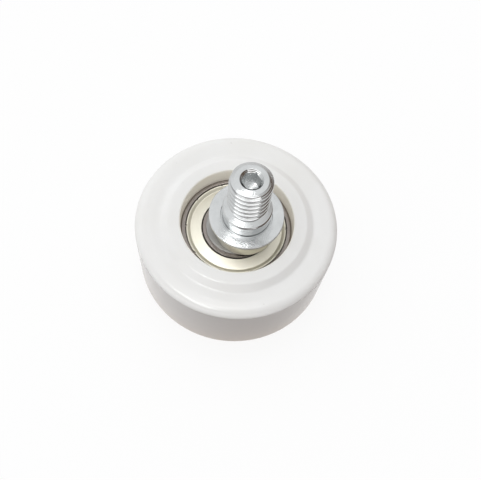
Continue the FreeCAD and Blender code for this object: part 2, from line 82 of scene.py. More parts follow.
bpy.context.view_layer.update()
MOUNTS = {mount["name"]: mount for mount in frame["record"]["mounts"]}
WHEEL_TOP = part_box("roller_wheel")[1]
OUTER_LOW, OUTER_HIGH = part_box("bearing_outer_ring")
INNER_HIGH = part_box("bearing_inner_ring")[1]
SHIELD_LOW, SHIELD_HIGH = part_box("front_shield")
STUD_LOW, STUD_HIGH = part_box("eccentric_stud")
CLIP_LOW, CLIP_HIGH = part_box("retaining_ring")


def mount_wall(name):
    """Radius of a round mount, and the heights between which its wall runs."""
    mount = MOUNTS[name]
    half = mount["dims"]["length_mm"] * MM / 2
    height = mount["pos_m"][2]
    return mount["dims"]["r_mm"] * MM, height - half, height + half


THREAD_RADIUS, THREAD_LOW, THREAD_HIGH = mount_wall("stud_thread")
BOSS_RADIUS, FLANGE_TOP, BOSS_EDGE = mount_wall("boss")
STUD_OFFSET = MOUNTS["stud_thread"]["pos_m"][0]


def number(name, description, default):
    return FloatProperty(name=name, description=description, default=default, min=0)


def length(name, description, default):
    return FloatProperty(name=name, description=description, default=default, unit="LENGTH", precision=5)


def angle(name, description, degrees):
    return FloatProperty(name=name, description=description, default=math.radians(degrees), subtype="ANGLE")


def vector(name, description, default, **kind):
    return FloatVectorProperty(
        name=name, description=description, default=default, size=len(default), **kind)


def colour(name, description, default):
    return vector(name, description, default, min=0, max=1, subtype="COLOR")


def direction(name, description, default):
    return vector(name, description, default, subtype="DIRECTION")


def spot(name, description, default):
    return vector(name, description, default, unit="LENGTH", subtype="TRANSLATION")


def extent(name, description, default):
    return vector(name, description, default, unit="LENGTH")


class RollerWheelSettings(bpy.types.PropertyGroup):
    """Sizes and colours of the moulded wheel."""
    tread_radius: length("Tread radius", "Radius of the running surface", WHEEL_TOP.x)
    width: length("Width", "From face to face", WHEEL_TOP.z)
    land_step: length("Land step", "How far the front face's outer land lies below its hub ring", 0.85 * MM)
    edge_run: length("Edge run", "Fall from the front land to the tread's edge, across the face", 2.4 * MM)
    edge_drop: length("Edge drop", "The same fall, along the tread", 0.9 * MM)
    edge_curve: number("Edge curve", "Power of that fall: a higher one keeps the land level longer", 2.2)
    edge_round: length("Edge rounding", "Small rounding of the tread's front edge", 0.12 * MM)
    rear_edge: length("Rear edge", "Rounding from the rear face to the tread", 2.0 * MM)
    bore_radius: length("Bore radius", "Bore that holds the bearing", OUTER_HIGH.x)
    bore_round: length("Bore rounding", "Mouth of the bore", 0.4 * MM)
    shoulder_radius: length("Shoulder radius", "Opening behind the bearing", 12.0 * MM)
    shoulder_height: length("Shoulder height", "Thickness of the shoulder behind the bearing", 2.5 * MM)
    hub_radius: length("Hub ring radius", "Outer edge of the flat ring round the bore", 17.15 * MM)
    channel_radius: length("Channel radius", "Outer edge of the channel in each face", 21.0 * MM)
    channel_wall: length("Channel wall", "Run of the channel's inner wall", 1.75 * MM)
    channel_rise: length("Channel rise", "Run of the channel's gentle outer rise", 1.5 * MM)
    channel_depth: length("Channel depth", "Depth of the front channel below the hub ring", 1.0 * MM)
    rear_depth: length("Rear channel depth", "Depth of the channel in the rear face", 0.7 * MM)
    channel_round: length("Channel rounding", "Rounding of the channel's edges", 0.55 * MM)
    white: colour("White", "Main tone of the plastic", (0.90, 0.897, 0.885))
    shade: colour("Shade", "Slightly darker tone that clouds the plastic", (0.87, 0.863, 0.84))
    speck: colour("Specks", "Small dark specks in the plastic", (0.45, 0.43, 0.40))
    # Painted light: a warm tone that the bore emits, standing in for light bounced round the bore.
    glow: colour("Bore glow", "Light through the plastic into the bore", (0.15, 0.135, 0.105))


class RollerBearingSettings(bpy.types.PropertyGroup):
    """Sizes and colours of the ball bearing."""
    chamfer: length("Ring chamfer", "Outer edges of both rings", 0.4 * MM)
    lip_reach: length("Lip reach", "Lip of the outer ring over a shield's rim", 0.25 * MM)
    lip_height: length("Lip height", "Height of that lip", 0.25 * MM)
    lip_round: length("Lip rounding", "Rounding of the lip's edge", 0.06 * MM)
    inner_wall: length("Inner ring wall", "Wall of the inner ring, from its bore out", 2.5 * MM)
    ring_round: length("Inner ring rounding", "Outer edges of the inner ring", 0.15 * MM)
    rim_width: length("Shield rim width", "Rim of a shield", 0.8 * MM)
    bead: length("Shield bead", "Height of the bead rolled along that rim", 0.2 * MM)
    gully: length("Shield gully", "Gap between the bead and the outer ring's lip", 0.24 * MM)
    crown: length("Shield crown", "Rise of a shield's sunk flat towards its hole", 0.4 * MM)
    slope_run: length("Shield slope", "Run from the rim to the sunk flat", 0.7 * MM)
    bend_round: length("Bend rounding", "Bends at both ends of that slope", 0.14 * MM)
    bead_round: length("Bead rounding", "Outer edge of the bead", 0.12 * MM)
    hole_round: length("Hole rounding", "Edge of a shield's hole", 0.08 * MM)
    sheet: length("Shield sheet", "Sheet thickness of a shield", 0.3 * MM)
    gap: length("Shield gap", "Gap between a shield and the inner ring", 0.25 * MM)
    notch_count: IntProperty(name="Notches", description="Notches round a shield's rim", default=10, min=3)
    notch_width: length("Notch width", "Width of each notch", 0.6 * MM)
    notch_length: length("Notch length", "Radial length of each notch", 0.42 * MM)
    notch_turn: angle("Notch turn", "Angle of the first notch", 13)
    ring_steel: colour("Ring steel", "Ground bearing rings", (0.28, 0.25, 0.23))
    shield_steel: colour("Shield steel", "Pressed shields", (0.79, 0.76, 0.655))
    cage_steel: colour("Cage steel", "Pressed cage and its rivets", (0.55, 0.54, 0.52))
    ball_steel: colour("Ball steel", "Polished balls", (0.70, 0.70, 0.72))
    # Painted shade: near black in the gaps along a shield's rim and round its hole.
    gap_shade: colour("Grease", "Dark grease in the gaps along a shield's rim and hole", (0.03, 0.027, 0.025))


class RollerStudSettings(bpy.types.PropertyGroup):
    """Sizes and colours of the eccentric stud and its retaining ring."""
    seat_step: length("Seat step", "From the journal out to the shoulder on the inner ring", 1.6 * MM)
    seat_height: length("Seat height", "Height of that shoulder", 0.5 * MM)
    seat_round: length("Seat rounding", "Edge of that shoulder", 0.12 * MM)
    barrel_radius: length("Barrel radius", "Barrel between the shoulder and the flange", 7.5 * MM)
    flange_rim: length("Flange rim", "Thickness of the flange at its rim", 0.8 * MM)
    flange_taper: length("Flange taper", "Height of the flange's tapered underside", 1.0 * MM)
    edge_round: length("Edge rounding", "Edges of the flange's rim and of the barrel's foot", 0.2 * MM)
    foot_groove: length("Foot groove", "Width and depth of the groove round the boss's foot", 0.3 * MM)
    boss_edge: length("Boss edge", "From the boss's fitting wall up to its top edge", 0.2 * MM)
    boss_chamfer: length("Boss chamfer", "Chamfer on the boss", 0.3 * MM)
    boss_round: length("Boss rounding", "Both edges of that chamfer", 0.05 * MM)
    boss_crown: length("Boss crown", "Rise of the boss's top towards the relief", 0.7 * MM)
    relief_depth: length("Relief depth", "Turned relief between boss and thread", 0.9 * MM)
    thread_pitch: length("Thread pitch", "Height of one turn of the thread", 1.75 * MM)
    thread_depth: length("Thread depth", "Depth of the thread's rounded groove", 0.8 * MM)
    thread_crest: length("Thread crest", "Flat left on the crest of the thread", 0.06 * MM)
    thread_lead: length("Thread lead", "How far below its plain start the groove begins", 0.8 * MM)
    end_chamfer: length("End chamfer", "Chamfer on the stud's end, across the axis", 1.2 * MM)
    end_round: length("End rounding", "Inner edge of that chamfer", 0.12 * MM)
    socket_flats: length("Socket flats", "Hexagon socket across its flats", 4.0 * MM)
    socket_depth: length("Socket depth", "Depth of the socket's flats", 4.5 * MM)
    socket_mouth: length("Socket mouth", "Radius of the socket's countersunk mouth", 2.7 * MM)
    socket_turn: angle("Socket turn", "Angle of the socket's first corner", 15)
    groove_depth: length("Groove depth", "Groove that holds the retaining ring", 0.25 * MM)
    clip_play: length("Groove play", "How much wider that groove is than the ring", 0.1 * MM)
    journal_chamfer: length("Journal chamfer", "Chamfer on the journal's end", 0.6 * MM)
    clip_width: length("Retaining ring width", "Radial width of the retaining ring", 1.8 * MM)
    clip_gap: length("Retaining ring gap", "Opening of the retaining ring", 3.4 * MM)
    eye_radius: length("Eye radius", "Eyes at the retaining ring's ends", 1.6 * MM)
    eye_hole: length("Eye hole", "Radius of the plier holes in those eyes", 0.75 * MM)
    zinc: colour("Zinc", "Bright zinc plating", (0.62, 0.632, 0.632))
    # Partly painted reflection: the warmer tone below the flange paints the cream shield's reflection on the
    # barrel; the plating there is also rougher.
    dull_zinc_and_reflection: colour("Dull zinc", "Duller plating below the flange", (0.66, 0.645, 0.57))
    # Painted shade: near black in the thread's roots and in the groove round the boss's foot.
    painted_shade: colour("Grime", "Dark grime in the thread and round the boss's foot", (0.045, 0.04, 0.04))
    # Painted shade: a darker tone on the shoulder that sits on the inner ring, under the flange.
    seat_shade_zinc: colour("Greasy zinc", "Greased shoulder on the inner ring", (0.30, 0.295, 0.285))
    spring_steel: colour("Spring steel", "Dark retaining ring", (0.10, 0.10, 0.11))


class RollerStageSettings(bpy.types.PropertyGroup):
    """Camera, light and floor."""
    elevation: angle("Elevation", "Camera's height above the horizon", 64.4)
    azimuth: angle("Azimuth", "Camera's turn round the roller", 6.3)
    roll: angle("Roll", "Camera's turn about its own line of sight", 8.2)
    distance: length("Distance", "From the camera to the point it looks at", 162.5 * MM)
    aim_height: length("Aim height", "Height of the point on the wheel's axis", 9.51 * MM)
    aim_side: length("Aim side", "How far right of the axis the camera looks", 1.52 * MM)
    lens: number("Lens", "Focal length in millimetres", 46.4)
    floor: colour("Floor", "Tone of the floor under its glow", (0.12, 0.12, 0.12))
    floor_glow: number("Floor glow", "Evens the floor out to white", 0.88)
    floor_radius: length("Floor radius", "Radius of the wide floor", 2.0)
    floor_level: length("Floor level", "Height of the floor, just below the roller", -0.2 * MM)
    card_radius: length("Card radius", "Radius of the dim card that lights the roller from below", 34.0 * MM)
    card_level: length("Card level", "Height of that card, just below the floor", -0.4 * MM)
    card: colour("Card", "Warm glow of that card", (0.45, 0.31, 0.20))
    light_from: direction("Light from", "Direction of the broad soft light", (-0.42, 0.10, 1.0))
    light: colour("Light", "Middle of the broad soft light", (0.98, 0.99, 1.0))
    haze: colour("Haze", "Dimmer light round it", (0.70, 0.70, 0.70))
    room: colour("Room", "Dim warm room below", (0.122, 0.084, 0.060))
    shade_from: direction("Shade from", "Direction of the dark side of the room", (0.35, -0.93, 0.05))
    shade: colour("Shade", "Dark side of the room", (0.045, 0.022, 0.018))
    backdrop: colour("Backdrop", "Pale backdrop, seen only straight from the camera", (0.78, 0.78, 0.785))
    light_strength: number("Light strength", "Strength of sky and room", 1.13)
    overhead_place: spot("Overhead place", "Where the small overhead light hangs", (-0.03, 0.11, 0.60))
    overhead_size: extent("Overhead size", "Its breadth and height", (0.12, 0.12))
    overhead_power: number("Overhead power", "Its power in watts", 0.24)
    gleam_place: spot("Gleam place", "Where the front light hangs that only gleams", (-0.03, -0.41, 0.48))
    gleam_size: extent("Gleam size", "Its breadth and height", (1.20, 0.24))
    gleam_power: number("Gleam power", "Its power in watts", 1.5)
    glint_place: spot("Glint place", "Where the high light hangs that only glints", (-0.10, -0.07, 0.60))
    glint_size: extent("Glint size", "Its breadth and height", (0.20, 0.13))
    glint_power: number("Glint power", "Its power in watts", 0.6)


def settings(group):
    return getattr(bpy.context.scene, "roller_" + group)


class Value:
    """A shader socket that takes part in Python arithmetic: each operation adds the Math node it needs."""

    def __init__(self, nodes, socket):
        self.nodes = nodes
        self.socket = socket

    def _math(self, operation, first, second):
        return self.nodes.node("ShaderNodeMath", {"operation": operation}, {0: first, 1: second})

    def __add__(self, other):
        return self._math("ADD", self, other)

    def __sub__(self, other):
        return self._math("SUBTRACT", self, other)

    def __rsub__(self, other):
        return self._math("SUBTRACT", other, self)

    def __mul__(self, other):
        return self._math("MULTIPLY", self, other)


class Nodes:
    """A node tree that is filled by short calls."""

    def __init__(self, owner):
        owner.use_nodes = True
        self.tree = owner.node_tree
        self.tree.nodes.clear()

    def connect(self, socket, value):
        if isinstance(value, Value):
            self.tree.links.new(value.socket, socket)
        else:
            socket.default_value = value

    def node(self, kind, options=None, inputs=None, output=0):
        """Add a node: its options first, then its sockets' values or links; gives one of its outputs."""
        item = self.tree.nodes.new(kind)
        for option, value in (options or {}).items():
            if option == "stops":
                self.set_stops(item.color_ramp, value)
            else:
                setattr(item, option, value)
        for socket, value in (inputs or {}).items():
            self.connect(item.inputs[socket], value)
        return None if output is None else Value(self, item.outputs[output])

    def set_stops(self, ramp, stops):
        """Give a ramp its stops, each a place and a grey level or a colour."""
        while len(ramp.elements) < len(stops):
            ramp.elements.new(1.0)
        for element, (place, level) in zip(ramp.elements, stops):
            element.position = place
            element.color = (level, level, level, 1) if isinstance(level, (int, float)) else (*level, 1)

    def ramp(self, value, stops):
        return self.node("ShaderNodeValToRGB", {"stops": stops}, {"Fac": value})

    def blend(self, share, first, second):
        """Colour between two colours."""
        first, second = (item if isinstance(item, Value) else (*item, 1) for item in (first, second))
        return self.node("ShaderNodeMix", {"data_type": "RGBA"}, {0: share, 6: first, 7: second}, output=2)


class Finish(Nodes):
    """A material built from nodes around one Principled shader."""

    def __init__(self, name):
        self.material = bpy.data.materials.new(name)
        super().__init__(self.material)
        self.shader = self.tree.nodes.new("ShaderNodeBsdfPrincipled")
        output = self.tree.nodes.new("ShaderNodeOutputMaterial")
        self.tree.links.new(self.shader.outputs[0], output.inputs["Surface"])

    def coordinates(self, centre=(0, 0, 0)):
        """The piece's own coordinates, measured from a centre."""
        place = self.node("ShaderNodeTexCoord", output="Object")
        shift = [-value for value in centre]
        return self.node("ShaderNodeMapping", None, {"Vector": place, "Location": shift})

    def noise(self, place, scale, detail=3.0, roughness=0.55, distortion=0.0):
        """Cloudy pattern from 0 to 1, with so many features to a metre."""
        return self.node("ShaderNodeTexNoise", None, {
            "Vector": place, "Scale": scale, "Detail": detail, "Roughness": roughness,
            "Distortion": distortion,
        })

    def axis_distance(self, place):
        """Distance from the upright axis."""
        flat = self.node("ShaderNodeVectorMath", {"operation": "MULTIPLY"}, {0: place, 1: (1, 1, 0)})
        return self.node("ShaderNodeVectorMath", {"operation": "LENGTH"}, {0: flat}, output="Value")

    def marks(self, place, kind, distortion):
        """Turning marks: RINGS round the upright axis, or BANDS along it."""
        return self.node("ShaderNodeTexWave", {"wave_type": kind, kind.lower() + "_direction": "Z"}, {
            "Vector": place, "Scale": 1250, "Distortion": distortion, "Detail": 2.0, "Detail Scale": 1.5,
        }, output=1)

    def bump(self, height, strength, depth):
        inputs = {"Height": height, "Strength": strength, "Distance": depth}
        self.set(Normal=self.node("ShaderNodeBump", None, inputs))

    def set(self, **sockets):
        """Set the shader's own sockets, with spaces in their names written as underscores."""
        for name, value in sockets.items():
            self.connect(self.shader.inputs[name.replace("_", " ")], value)


def white_polyamide():
    """Moulded plastic: clouded white and waxy, with a faint grain, a few specks and painted light in the
    bore.
    """
    wheel = settings("wheel")
    finish = Finish("white_polyamide")
    place = finish.coordinates()
    clouds = finish.ramp(finish.noise(place, scale=70, detail=4), [(0.35, 0), (0.7, 1)])
    base = finish.blend(clouds, wheel.white, wheel.shade)
    specks = finish.ramp(finish.noise(place, scale=900, detail=1, roughness=0.4), [(0.80, 0), (0.84, 1)])
    finish.set(Base_Color=finish.blend(specks * 0.35, base, wheel.speck))
    finish.set(Roughness=finish.noise(place, scale=160, detail=4) * 0.10 + 0.15)
    finish.bump(finish.noise(place, scale=1400), strength=0.35, depth=0.02 * MM)
    finish.set(Subsurface_Weight=0.3, Subsurface_Radius=(1.0, 1.0, 1.0), Subsurface_Scale=1.2 * MM)
    # Painted light: the bore's wall emits the glow tone, fading out across the rounding of its mouth.
    mouth = (finish.axis_distance(place) - wheel.bore_radius) * (1 / wheel.bore_round)
    bore = finish.ramp(mouth, [(0.14, 1), (0.98, 0)])
    finish.set(Emission_Color=finish.blend(bore, (0, 0, 0), wheel.glow), Emission_Strength=1.0)
    finish.set(IOR=1.53, Specular_IOR_Level=0.5)
    return finish.material


def turned_metal(name, tone, centre, roughness, mark_depth, anisotropic=0.5, bands=(), painted_shades=()):
    """Turned metal: cloudy, with rings on its faces and bands round its sides. Painted shade in grooves is
    full at its root and stops a little further in, so that a socket stays free of it."""
    finish = Finish(name)
    place = finish.coordinates(centre)
    clouds = finish.ramp(finish.noise(place, scale=260, detail=4), [(0.3, 0), (0.75, 1)])
    base = finish.blend(clouds, tone, [channel * 0.85 for channel in tone])
    height = finish.node("ShaderNodeSeparateXYZ", None, {"Vector": place}, output="Z")
    smears = finish.noise(place, scale=420, detail=5, roughness=0.65, distortion=0.6)
    rough = smears * 0.14 + (roughness - 0.07)
    # Painted tones below given heights, each a painted reflection or a painted shade, with its own extra
    # roughness.
    for band in bands:
        below = finish.ramp((band.top - height) * (1 / SOFT_EDGE), [(0, 0), (1, 1)])
        base = finish.blend(below, base, band.tone)
        rough = rough + below * band.rougher
    # Painted shade: darkens grooves and gaps towards their roots, between two heights.
    for painted_shade in painted_shades:
        depth = (painted_shade.crest - finish.axis_distance(place)) * (0.5 / (painted_shade.crest - painted_shade.root))
        inside = finish.ramp(depth, [(0, 0), (0.5, 1), (0.7, 1), (0.71, 0)])
        level = (height - painted_shade.low) * (1 / (painted_shade.high - painted_shade.low))
        between = finish.ramp(level, [(0, 0), (0.03, 1), (0.97, 1), (1, 0)])
        base = finish.blend(inside * between, base, painted_shade.tone)
    finish.set(Base_Color=base, Roughness=rough)
    faces = finish.marks(place, "RINGS", distortion=1.2)
    sides = finish.marks(place, "BANDS", distortion=0.8)
    grain = finish.noise(place, scale=3000, detail=2)
    finish.bump(faces + sides * 0.2 + grain * 0.3, strength=1.0, depth=mark_depth)
    finish.set(Metallic=1.0, Anisotropic=anisotropic, Anisotropic_Rotation=0.25)
    return finish.material


def zinc_plate():
    """Bright zinc: duller below the flange, with a warm tint that paints the shield's reflection there;
    painted shade on its shoulder under the flange and in its grooves.
    """
    stud = settings("stud")
    flange_low = FLANGE_TOP - stud.flange_rim - stud.flange_taper
    seat_top = OUTER_HIGH.z + stud.seat_height
    # Painted reflection of the shield as a warm tone on the barrel, and painted shade on the shoulder.
    bands = (Band(flange_low, stud.dull_zinc_and_reflection, 0.22), Band(seat_top + SOFT_EDGE, stud.seat_shade_zinc, 0.0))
    # Painted shade in the thread's roots and in the groove round the boss's foot.
    thread = Grime(
        low=BOSS_EDGE + stud.boss_edge + stud.boss_crown, high=THREAD_HIGH, tone=stud.painted_shade,
        crest=THREAD_RADIUS - 0.3 * stud.thread_depth, root=THREAD_RADIUS - 1.1 * stud.thread_depth)
    foot = Grime(
        low=FLANGE_TOP - 1.2 * stud.foot_groove, high=FLANGE_TOP, tone=stud.painted_shade,
        crest=BOSS_RADIUS + 1.1 * stud.foot_groove, root=BOSS_RADIUS + 0.9 * stud.foot_groove)
    return turned_metal(
        "zinc_plate", stud.zinc, (STUD_OFFSET, 0, 0), roughness=0.13, mark_depth=0.010 * MM,
        anisotropic=0.3, bands=bands, painted_shades=(thread, foot))


def ring_steel():
    """Ground steel, with painted shade in the gap along the inner ring's outer edge."""
    bearing = settings("bearing")
    # Painted shade: near black in the gap round the inner ring's outer edge.
    edge = Grime(
        low=OUTER_LOW.z - SOFT_EDGE / 2, high=OUTER_HIGH.z + SOFT_EDGE / 2, tone=bearing.gap_shade,
        crest=INNER_HIGH.x + bearing.ring_round * 2 / 5, root=INNER_HIGH.x - bearing.ring_round * 2 / 3)
    return turned_metal(
        "ring_steel", bearing.ring_steel, (0, 0, 0), roughness=0.24, mark_depth=0.003 * MM, painted_shades=(edge,))


def shield_steel():
    """Pressed sheet: cream satin with a fine grain, and painted shade in the gully outside the bead."""
    bearing = settings("bearing")
    finish = Finish("shield_steel")
    place = finish.coordinates()
    darker = [channel * 0.88 for channel in bearing.shield_steel]
    sheet = finish.blend(finish.noise(place, scale=320, detail=4), bearing.shield_steel, darker)
    # Painted shade: near black on the sheet outside the bead, in the gully under the outer ring's lip.
    gully = SHIELD_HIGH.x - bearing.lip_reach - bearing.gully
    past_bead = (finish.axis_distance(place) - gully) * (1 / GAP_SHADE_EDGE)
    gap_shaded = finish.ramp(past_bead, [(0.25, 0), (1, 1)])
    finish.set(Base_Color=finish.blend(gap_shaded, sheet, bearing.gap_shade), Metallic=0.8)
    finish.set(Roughness=finish.noise(place, scale=700, detail=4) * 0.14 + 0.36)
    finish.bump(finish.noise(place, scale=2600), strength=0.25, depth=0.004 * MM)
    return finish.material


def sheet_steel(name, tone, roughness, wear):
    """Plain steel with a cloudy tone, worn lighter or darker, and a fine grain."""
    finish = Finish(name)
    place = finish.coordinates()
    clouds = finish.noise(place, scale=300, detail=4)
    finish.set(Base_Color=finish.blend(clouds, tone, [min(1.0, channel * wear) for channel in tone]))
    finish.set(Roughness=finish.noise(place, scale=900) * 0.15 + roughness, Metallic=1.0)
    finish.bump(finish.noise(place, scale=2200), strength=0.2, depth=0.005 * MM)
    return finish.material


def deselect_all():
    if bpy.context.object and bpy.context.object.mode != "OBJECT":
        bpy.ops.object.mode_set(mode="OBJECT")
    bpy.ops.object.select_all(action="DESELECT")


def make_active(piece):
    deselect_all()
    bpy.context.view_layer.objects.active = piece
    piece.select_set(True)


def draw(name, outline, centre, closed):
    """New object in edit mode whose vertices follow an outline of (radius, height) corners."""
    deselect_all()
    bpy.ops.mesh.primitive_plane_add(size=MM)
    piece = bpy.context.object
    piece.name = name
    piece.data.name = name
    bpy.ops.object.mode_set(mode="EDIT")
    bpy.ops.mesh.select_mode(type="VERT")
    bpy.ops.mesh.merge(type="CENTER")
    corners = [Vector((centre + radius, 0, height)) for radius, height in outline]
    bpy.ops.transform.translate(value=corners[0])
    path = corners[1:] + corners[:1] if closed else corners[1:]
    place = corners[0]
    for corner in path:
        bpy.ops.mesh.extrude_vertices_move(TRANSFORM_OT_translate={"value": corner - place})
        place = corner
    bpy.ops.mesh.select_all(action="SELECT")
    bpy.ops.mesh.remove_doubles(threshold=WELD)
    return piece


def turn(name, outline, centre=0.0, closed=True, steps=TURN_STEPS):
    """Turn an outline round an upright axis; the piece stays in edit mode."""
    piece = draw(name, outline, centre, closed)
    bpy.ops.mesh.spin(steps=steps, angle=math.tau, center=(centre, 0, 0), axis=(0, 0, 1))
    bpy.ops.mesh.select_all(action="SELECT")
    bpy.ops.mesh.remove_doubles(threshold=WELD)
    bpy.ops.mesh.normals_make_consistent(inside=False)
    return piece


def round_rings(piece, rings, width, centre=0.0, segments=5):
    """Round the edge loops of a turned piece that lie at (radius, height) places."""
    bpy.ops.mesh.select_mode(type="EDGE")
    bpy.ops.mesh.select_all(action="DESELECT")
    mesh = bmesh.from_edit_mesh(piece.data)

    def on_ring(vertex, ring):
        radius = math.hypot(vertex.co.x - centre, vertex.co.y)
        return abs(radius - ring[0]) < RING_TOLERANCE and abs(vertex.co.z - ring[1]) < RING_TOLERANCE

    for edge in mesh.edges:
        if any(on_ring(edge.verts[0], ring) and on_ring(edge.verts[1], ring) for ring in rings):
            edge.select_set(True)
    bmesh.update_edit_mesh(piece.data)
    bpy.ops.mesh.bevel(offset=width, segments=segments, profile=0.5, affect="EDGES", clamp_overlap=True)


def applied():
    """The active object, with its place, turn and size moved into its mesh."""
    bpy.ops.object.transform_apply(location=True, rotation=True, scale=True)
    return bpy.context.object


def apply_modifier(piece, kind, **options):
    make_active(piece)
    bpy.ops.object.modifier_add(type=kind)
    modifier = piece.modifiers[-1]
    for option, value in options.items():
        setattr(modifier, option, value)
    bpy.ops.object.modifier_apply(modifier=modifier.name)


def combine(piece, tool, operation):
    """Cut a tool out of a piece, or join it to the piece, and remove the tool."""
    apply_modifier(piece, "BOOLEAN", operation=operation, object=tool, solver="EXACT")
    make_active(tool)
    bpy.ops.object.delete()
    make_active(piece)


def dress(piece, material):
    piece.data.materials.clear()
    piece.data.materials.append(material)


def finish_piece(piece, node, body, material):
    """Smooth a piece, give it its material, and let it stand for its node of the frame."""
    make_active(piece)
    bpy.ops.object.shade_smooth_by_angle(angle=SMOOTH_ANGLE)
    apply_modifier(piece, "WEIGHTED_NORMAL", keep_sharp=True)
    dress(piece, material)
    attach(piece, body)
    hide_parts(node)


class ROLLER_OT_wheel(bpy.types.Operator):
    """Turn the moulded wheel with its channelled faces and its stepped bore"""
    bl_idname = "roller.wheel"
    bl_label = "Model the wheel"

    def execute(self, context):
        wheel = settings("wheel")
        top = wheel.width
        rear = OUTER_LOW.z
        bore, hub, channel = wheel.bore_radius, wheel.hub_radius, wheel.channel_radius
        shoulder = wheel.shoulder_radius
        shoulder_low = rear - wheel.shoulder_height
        floor_inside = hub + wheel.channel_wall
        floor_outside = channel - wheel.channel_rise
        high = top - wheel.channel_depth
        low = wheel.rear_depth
        land = top - wheel.land_step
        front_edge = [(radius, land - drop) for radius, drop in self.front_fall()]
        rear_edge = reversed(self.rear_rounding())
        piece = turn("wheel_moulding", [
            (bore, top), (hub, top), (floor_inside, high), (floor_outside, high), (channel, land),
            *front_edge, *rear_edge, (channel, 0), (floor_outside, low), (floor_inside, low), (hub, 0),
            (bore, 0), (bore, shoulder_low), (shoulder, shoulder_low), (shoulder, rear), (bore, rear),
        ])
        for face, floor, outer in ((top, high, land), (0, low, 0)):
            edges = [(hub, face), (floor_inside, floor), (floor_outside, floor), (channel, outer)]
            round_rings(piece, edges, wheel.channel_round, segments=6)
        round_rings(piece, [(bore, top), (bore, 0)], wheel.bore_round)
        round_rings(piece, [(wheel.tread_radius, land - wheel.edge_drop)], wheel.edge_round, segments=4)
        finish_piece(piece, "roller_wheel", "wheel", white_polyamide())
        return {"FINISHED"}

    def front_fall(self, steps=16):
        """How the front land falls away towards the tread's edge: each point's radius and its drop."""
        wheel = settings("wheel")
        start = wheel.tread_radius - wheel.edge_run
        shares = [step / steps for step in range(steps + 1)]
        return [(start + wheel.edge_run * share, wheel.edge_drop * share ** wheel.edge_curve)
                for share in shares]

    def rear_rounding(self, steps=12):
        """Quarter circle from the rear face to the tread: each point's radius and its height."""
        wheel = settings("wheel")
        turns = [math.radians(90) * step / steps for step in range(steps + 1)]
        middle = wheel.tread_radius - wheel.rear_edge
        return [(middle + wheel.rear_edge * math.sin(turned), wheel.rear_edge * (1 - math.cos(turned)))
                for turned in turns]


class ROLLER_OT_rings(bpy.types.Operator):
    """Turn the bearing's outer and inner rings"""
    bl_idname = "roller.rings"
    bl_label = "Model the bearing rings"

    def execute(self, context):
        steel = ring_steel()
        self.outer_ring(steel)
        self.inner_ring(steel)
        return {"FINISHED"}

    def outer_ring(self, steel):
        bearing = settings("bearing")
        outside = OUTER_HIGH.x
        seat = SHIELD_HIGH.x
        lip = seat - bearing.lip_reach
        inside = seat - bearing.rim_width
        front, rear = OUTER_HIGH.z, OUTER_LOW.z
        lip_depth = bearing.lip_height
        seat_depth = lip_depth + bearing.sheet
        half = [(outside - bearing.chamfer, 0), (lip, 0), (lip, lip_depth), (seat, lip_depth),
                (seat, seat_depth), (inside, seat_depth)]
        piece = turn("outer_ring", [
            *((radius, front - depth) for radius, depth in half),
            *((radius, rear + depth) for radius, depth in reversed(half)),
            (outside, rear + bearing.chamfer), (outside, front - bearing.chamfer),
        ])
        round_rings(piece, [(lip, front), (lip, rear)], bearing.lip_round, segments=3)
        finish_piece(piece, "bearing_outer_ring", "wheel", steel)

    def inner_ring(self, steel):
        bearing = settings("bearing")
        outside = INNER_HIGH.x
        bore = outside - bearing.inner_wall
        front, rear = OUTER_HIGH.z, OUTER_LOW.z
        piece = turn("inner_ring", [
            (bore + bearing.chamfer, front), (bore, front - bearing.chamfer), (bore, rear + bearing.chamfer),
            (bore + bearing.chamfer, rear), (outside, rear), (outside, front),
        ])
        round_rings(piece, [(outside, front), (outside, rear)], bearing.ring_round, segments=4)
        finish_piece(piece, "bearing_inner_ring", "stud", steel)


